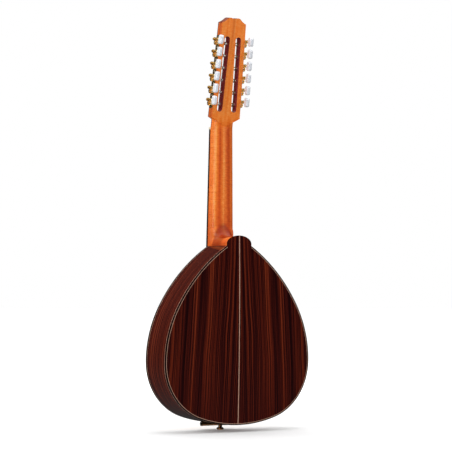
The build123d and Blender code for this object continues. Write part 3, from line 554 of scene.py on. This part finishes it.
GOLD = metal("gold_plate", linear(255, 232, 170), linear(206, 146, 76), 0.3, 0.6, 0.35)
NICKEL = metal("nickel", linear(222, 218, 212), linear(150, 142, 134), 0.2, 0.6, 0.5)
AGED = metal("aged_brass", linear(112, 74, 46), linear(64, 66, 50), 0.36, 1.0, 0.12)
FRET_METAL = metal("fret_metal", linear(216, 212, 200), linear(170, 162, 146), 0.22, 0.5, 0.6)
PEARL = pearl()
STRING = wound_string()
BINDING = (
    (0.0, linear(14, 6, 7)),
    (0.4, linear(26, 11, 10)),
    (0.7, linear(40, 18, 14)),
    (1.0, linear(60, 28, 18)),
)
DRESS = {
    rosewood("rosewood_back", plate_grain, 1.0): ["back_treble", "back_bass"],
    rosewood("rosewood_rib", rim_grain, 6.0, stops=RIB_WOOD): ["rib_treble", "rib_bass"],
    rosewood("rosewood_binding", rim_grain, 12.0, stops=BINDING): ["bindings"],
    rosewood("rosewood_veneer", straight_grain, 21.0): ["head_veneer"],
    pale_line(): ["purfling", "back_strip"],
    cedro(): ["neck"],
    spruce("cedar_top", plate_grain, linear(222, 168, 104), linear(160, 98, 48), 1.3, 1.0): ["soundboard"],
    spruce("inner_cedar", crossways_grain, linear(214, 176, 124), linear(172, 124, 72), 1.9, 0.0): [
        "linings", "braces", "tail_block"
    ],
    marquetry(): ["rosette"],
    ebony("ebony", straight_grain): ["fingerboard"],
    ebony("ebony_bridge", crossways_grain): ["bridge"],
    bone(): ["nut", "saddle"],
    FRET_METAL: ["frets"],
    AGED: ["tailpiece", "end_pin"],
    GOLD: ["tuner_plates", "plate_screws"],
    STRING: ["strings"],
    PEARL: [],
}
for side_name in SIDES:
    rows = range(1, TUNERS + 1)
    DRESS[post_metal(side_name)] = [f"post_{side_name}_{row}" for row in rows]
    DRESS[GOLD] += [f"worm_{side_name}_{row}" for row in rows]
    DRESS[PEARL] += [f"button_{side_name}_{row}" for row in rows]
for material, names in DRESS.items():
    for name in names:
        NODES[name].data.materials.clear()
        NODES[name].data.materials.append(material)


# Tools for pieces, all in millimetres until they are placed
def piece(name, mesh_data, material, body):
    """Turns a bmesh in millimetres into a shaded object that rides on a body."""
    mesh = bpy.data.meshes.new(name)
    bmesh.ops.scale(mesh_data, vec=(MM, MM, MM), verts=mesh_data.verts)
    bmesh.ops.recalc_face_normals(mesh_data, faces=mesh_data.faces)
    mesh_data.to_mesh(mesh)
    mesh_data.free()
    mesh.polygons.foreach_set("use_smooth", [True] * len(mesh.polygons))
    mesh.set_sharp_from_angle(angle=radians(38))
    mesh.materials.append(material)
    made = bpy.data.objects.new(name, mesh)
    bpy.context.scene.collection.objects.link(made)
    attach(made, body)
    return made


def tube(mesh_data, path, radius, sides=8):
    """Adds a round closed tube along a path of points."""
    rings = []
    normal = (path[1] - path[0]).orthogonal().normalized()
    for index, point in enumerate(path):
        ahead = path[min(index + 1, len(path) - 1)] - path[max(index - 1, 0)]
        ahead.normalize()
        normal = (normal - ahead * normal.dot(ahead)).normalized()
        binormal = ahead.cross(normal)
        turns = [2 * pi * side / sides for side in range(sides)]
        ring = [point + (normal * cos(turn) + binormal * sin(turn)) * radius for turn in turns]
        rings.append([mesh_data.verts.new(corner) for corner in ring])
    for low, high in zip(rings, rings[1:]):
        for side in range(sides):
            after = (side + 1) % sides
            mesh_data.faces.new((low[side], low[after], high[after], high[side]))
    mesh_data.faces.new(rings[0][::-1])
    mesh_data.faces.new(rings[-1])


def turned(mesh_data, centre, axis, profile, sides=32):
    """Adds a solid turned about an axis from (radius, height) points; the ends close on the axis."""
    side_way = axis.orthogonal().normalized()
    other_way = axis.cross(side_way)
    rings = []
    for radius, height in profile:
        middle = centre + axis * height
        if radius == 0:
            rings.append([mesh_data.verts.new(middle)])
            continue
        turns = [2 * pi * side / sides for side in range(sides)]
        rings.append([
            mesh_data.verts.new(middle + (side_way * cos(turn) + other_way * sin(turn)) * radius)
            for turn in turns
        ])
    for low, high in zip(rings, rings[1:] + rings[:1]):
        if len(low) == len(high) == 1:
            continue
        for side in range(sides):
            after = (side + 1) % sides
            corners = [low[side % len(low)], low[after % len(low)]]
            corners += [high[after % len(high)], high[side % len(high)]]
            mesh_data.faces.new(list(dict.fromkeys(corners)))


def joint_place(name):
    """Where a joint lies, in millimetres, and its axis."""
    return Vector(JOINTS[name]["pos_m"]) / MM, Vector(JOINTS[name]["axis"]).normalized()


# Detail pieces
def string_x(number, spread):
    """Sideways place of one string where the outer strings are spread apart."""
    course, second = divmod(number, 2)
    middle = course * (spread - COURSE_GAP) / (TUNERS - 1) - (spread - COURSE_GAP) / 2
    return middle + (COURSE_GAP / 2 if second else -COURSE_GAP / 2)


def add_winding(side_name, row, radius):
    """The turns of one string on its roller, with the cut end standing off."""
    centre, out = joint_place(f"wind_{side_name}_{row}")
    length_from_axis = POST_RADIUS + radius + 0.03
    start = centre + out * (-17.3 + 0.4 * (row - 1))
    along = HEAD_BACK.cross(out) * (-1 if side_name == "treble" else 1)
    along = along if along.dot(HEAD_UP) > 0 else -along
    turns = 5 if radius < 0.3 else 4
    steps = 18
    path = []
    for step in range(turns * steps + 5):
        turn = 2 * pi * step / steps
        height = (2 * radius + 0.04) * step / steps
        spoke = along * sin(turn) - HEAD_BACK * cos(turn)
        path.append(start + out * height + spoke * length_from_axis)
    end_way = (path[-1] - path[-2]).normalized()
    path += [path[-1] + end_way * 0.7 + out * 0.1, path[-1] + end_way * 1.5 + out * 0.4]
    mesh_data = bmesh.new()
    tube(mesh_data, path, radius)
    piece(f"winding_{side_name}_{row}", mesh_data, STRING, f"roller_{side_name}_{row}")


def add_ferrule(side_name, row):
    """The gold ring where a button meets its shaft."""
    centre, axis = joint_place(f"turn_{side_name}_{row}")
    profile = [(2.86, 0.2), (3.1, 0.0), (3.45, 0.3), (3.5, 0.9), (3.3, 1.4), (3.0, 1.7), (2.86, 1.8)]
    mesh_data = bmesh.new()
    turned(mesh_data, centre + axis * BUTTON_NECK, axis, profile)
    piece(f"ferrule_{side_name}_{row}", mesh_data, GOLD, f"key_{side_name}_{row}")


def add_tail_twist(number, radius):
    """The turns with which one string's loop is closed, just above the tail's roll."""
    x = string_x(number, SADDLE_SPREAD)
    low = Vector((x, ROLL_HOLE_Y, -0.5))
    high = Vector((x, SADDLE_TOP_Y - radius - 0.05, SADDLE_Z))
    ahead = (high - low).normalized()
    side_way = ahead.orthogonal().normalized()
    other_way = ahead.cross(side_way)
    wire = 0.16
    steps = 12
    path = []
    for step in range(9 * steps):
        turn = 2 * pi * step / steps + number
        spoke = side_way * cos(turn) + other_way * sin(turn)
        path.append(low + ahead * (2.6 + 0.75 * step / steps) + spoke * (radius + wire))
    mesh_data = bmesh.new()
    tube(mesh_data, path, wire, 6)
    piece(f"tail_twist_{number + 1}", mesh_data, NICKEL, "root")


def add_screw_heads():
    """Domed screw heads with a driver's slot, over the side plates between the rollers."""
    mesh_data = bmesh.new()
    head_radius, head_height, half_slot, floor_height = 2.15, 0.98, 0.3, 0.35
    for side_name in SIDES:
        for row in range(1, TUNERS):
            post, out = joint_place(f"wind_{side_name}_{row}")
            following, _ = joint_place(f"wind_{side_name}_{row + 1}")
            along = (following - post).normalized()
            centre = post + along * 15.5 + out * 1.2
            angle = 0.9 * row + (0.4 if side_name == "bass" else 0)
            slot_way = along * cos(angle) + out.cross(along) * sin(angle)
            dome = [(0, 0), (head_radius, 0), (head_radius, 0.3), (0.93 * head_radius, 0.6),
                    (0.72 * head_radius, 0.82), (0.4 * head_radius, 0.94), (0, head_height)]
            for way in (1, -1):
                half = bmesh.new()
                turned(half, centre, out, dome)
                geometry = half.verts[:] + half.edges[:] + half.faces[:]
                cut = bmesh.ops.bisect_plane(
                    half,
                    geom=geometry,
                    plane_co=centre + slot_way * half_slot * way,
                    plane_no=slot_way * way,
                    clear_inner=True,
                )
                rim = [edge for edge in cut["geom_cut"] if isinstance(edge, bmesh.types.BMEdge)]
                bmesh.ops.edgeloop_fill(half, edges=rim)
                mesh = bpy.data.meshes.new("half")
                half.to_mesh(mesh)
                half.free()
                mesh_data.from_mesh(mesh)
                bpy.data.meshes.remove(mesh)
            base_radius = head_radius - 0.06
            base = [(0, 0.01), (base_radius, 0.01), (base_radius, floor_height), (0, floor_height)]
            turned(mesh_data, centre, out, base)
    heads = piece("plate_screw_heads", mesh_data, NICKEL, "root")
    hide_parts("plate_screws")


def fret_z(number):
    """Height of one fret."""
    return NUT_Z - SCALE_LENGTH * (1 - 2 ** (-number / 12))


def add_dots():
    """Pearl dots let into the fingerboard's face and its bass edge."""
    board_low, board_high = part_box("fingerboard")
    face_y = board_low.y / MM
    for fret in (5, 7, 10, 12):
        middle_z = (fret_z(fret) + fret_z(fret - 1)) / 2
        places = (-11.0, 11.0) if fret == 12 else (0.0,)
        for index, x in enumerate(places):
            mesh_data = bmesh.new()
            disc = [(0, -0.4), (2.9, -0.4), (2.9, 0.03), (2.8, 0.06), (0, 0.07)]
            turned(mesh_data, Vector((x, face_y, middle_z)), Vector((0, -1, 0)), disc)
            piece(f"fret_dot_{fret}_{index + 1}", mesh_data, PEARL, "root")
        mesh_data = bmesh.new()
        share = (NUT_Z - middle_z) / (NUT_Z - board_low.z / MM)
        edge_x = -NUT_HALF_WIDTH - share * (board_high.x / MM - NUT_HALF_WIDTH)
        disc = [(0, -0.4), (1.0, -0.4), (1.0, 0.04), (0, 0.06)]
        turned(mesh_data, Vector((edge_x, face_y / 2, middle_z)), Vector((-1, 0, 0)), disc)
        piece(f"side_dot_{fret}", mesh_data, PEARL, "root")


for side_name, side in SIDES.items():
    for row in range(1, TUNERS + 1):
        number = STRING_COUNT - row if side > 0 else row - 1
        add_winding(side_name, row, STRING_RADII[number])
        add_ferrule(side_name, row)
for number, radius in enumerate(STRING_RADII):
    add_tail_twist(number, radius)
add_screw_heads()
add_dots()


# Studio: (height, level) pairs of the light from the sky and of the room in reflections
EVEN_SKY = ((0.0, 0.3), (0.46, 0.36), (0.56, 0.86), (1.0, 0.86))
REFLECTED_ROOM = (
    (0.0, 1.2), (0.18, 0.9), (0.24, 0.1), (0.47, 0.03),
    (0.54, 0.015), (0.78, 0.035), (0.82, 1.4), (1.0, 2.4),
)


def add_floor():
    """A plain pale floor under the object, seen by the camera only."""
    low = cad_box[0][2]
    reach = 14.0
    mesh = bpy.data.meshes.new("floor")
    ways = ((-1, -1), (1, -1), (1, 1), (-1, 1))
    corners = [(x * reach, y * reach, low) for x, y in ways]
    mesh.from_pydata(corners, [], [(0, 1, 2, 3)])
    floor = bpy.data.objects.new("floor", mesh)
    bpy.context.scene.collection.objects.link(floor)
    shader = Shader("floor", 0.9, Emission_Color=(1, 1, 1, 1))
    place = shader.place()
    tone = shader.noise(place, 0.002, 3.0)
    shader.set("Base Color", shader.mix(tone, linear(222, 222, 222), linear(226, 226, 226)))
    distance = shader.node("ShaderNodeVectorMath", {0: place}, "Value", operation="LENGTH")
    glow = shader.math("MULTIPLY_ADD", shader.span(distance, 500.0, 1600.0), 0.32, 0.12)
    shader.set("Emission Strength", glow)
    mesh.materials.append(shader.material)
    floor.visible_glossy = False
    floor.visible_diffuse = False


def add_world():
    """White behind the object, an even soft light on it, and a dim room in its reflections."""
    world = bpy.data.worlds.new("studio")
    world.use_nodes = True
    bpy.context.scene.world = world
    tree = world.node_tree
    tree.nodes.clear()
    links = tree.links
    where = tree.nodes.new("ShaderNodeTexCoord")
    parts = tree.nodes.new("ShaderNodeSeparateXYZ")
    height = tree.nodes.new("ShaderNodeMapRange")
    height.inputs["From Min"].default_value = -1
    links.new(where.outputs["Generated"], parts.inputs[0])
    links.new(parts.outputs["Z"], height.inputs["Value"])

    def sky(levels):
        """A grey background whose level follows height: 0 is straight down, 1 straight up."""
        ramp = tree.nodes.new("ShaderNodeValToRGB")
        while len(ramp.color_ramp.elements) < len(levels):
            ramp.color_ramp.elements.new(0.5)
        for element, (place, level) in zip(ramp.color_ramp.elements, levels):
            element.position = place
            element.color = (level, level, level, 1)
        light = tree.nodes.new("ShaderNodeBackground")
        links.new(height.outputs[0], ramp.inputs[0])
        links.new(ramp.outputs[0], light.inputs["Color"])
        return light

    even = sky(EVEN_SKY)
    room = sky(REFLECTED_ROOM)
    white = tree.nodes.new("ShaderNodeBackground")
    white.inputs["Color"].default_value = (1, 1, 1, 1)
    path = tree.nodes.new("ShaderNodeLightPath")
    glossy = tree.nodes.new("ShaderNodeMixShader")
    seen = tree.nodes.new("ShaderNodeMixShader")
    output = tree.nodes.new("ShaderNodeOutputWorld")
    links.new(path.outputs["Is Glossy Ray"], glossy.inputs[0])
    links.new(even.outputs[0], glossy.inputs[1])
    links.new(room.outputs[0], glossy.inputs[2])
    links.new(path.outputs["Is Camera Ray"], seen.inputs[0])
    links.new(glossy.outputs[0], seen.inputs[1])
    links.new(white.outputs[0], seen.inputs[2])
    links.new(seen.outputs[0], output.inputs["Surface"])


def add_softbox(name, turn, height, distance, width, tall, power, glossy=True):
    """An area light facing the object, turned from the camera's side and unseen by the camera."""
    data = bpy.data.lights.new(name, "AREA")
    data.shape = "RECTANGLE"
    data.size = width
    data.size_y = tall
    data.energy = power
    light = bpy.data.objects.new(name, data)
    bpy.context.scene.collection.objects.link(light)
    middle = Vector((0, 0.04, 0.42))
    level = Vector((BACKWARDS.x, BACKWARDS.y, 0)).normalized()
    level.rotate(Matrix.Rotation(radians(turn), 3, "Z"))
    light.location = middle + level * distance + Vector((0, 0, height))
    light.rotation_euler = (middle - light.location).to_track_quat("-Z", "Y").to_euler()
    light.visible_camera = False
    light.visible_glossy = glossy


def add_lights():
    """Three softboxes seen in reflections; two fills in front of the object and one overhead are not."""
    add_softbox("softbox_left", -30, 0.45, 2.6, 0.7, 2.4, 30)
    add_softbox("softbox_side", -82, 0.6, 2.6, 0.9, 2.4, 12)
    add_softbox("softbox_right", 62, 0.95, 2.6, 0.6, 1.4, 5)
    add_softbox("fill_front_left", -150, 0.9, 2.8, 1.8, 1.8, 24, False)
    add_softbox("fill_front_right", 150, 0.9, 2.8, 1.8, 1.8, 24, False)
    add_softbox("overhead", 0, 3.0, 0.02, 1.9, 1.9, 34, False)


add_floor()
add_world()
add_lights()
bpy.context.scene.view_settings.view_transform = "Standard"
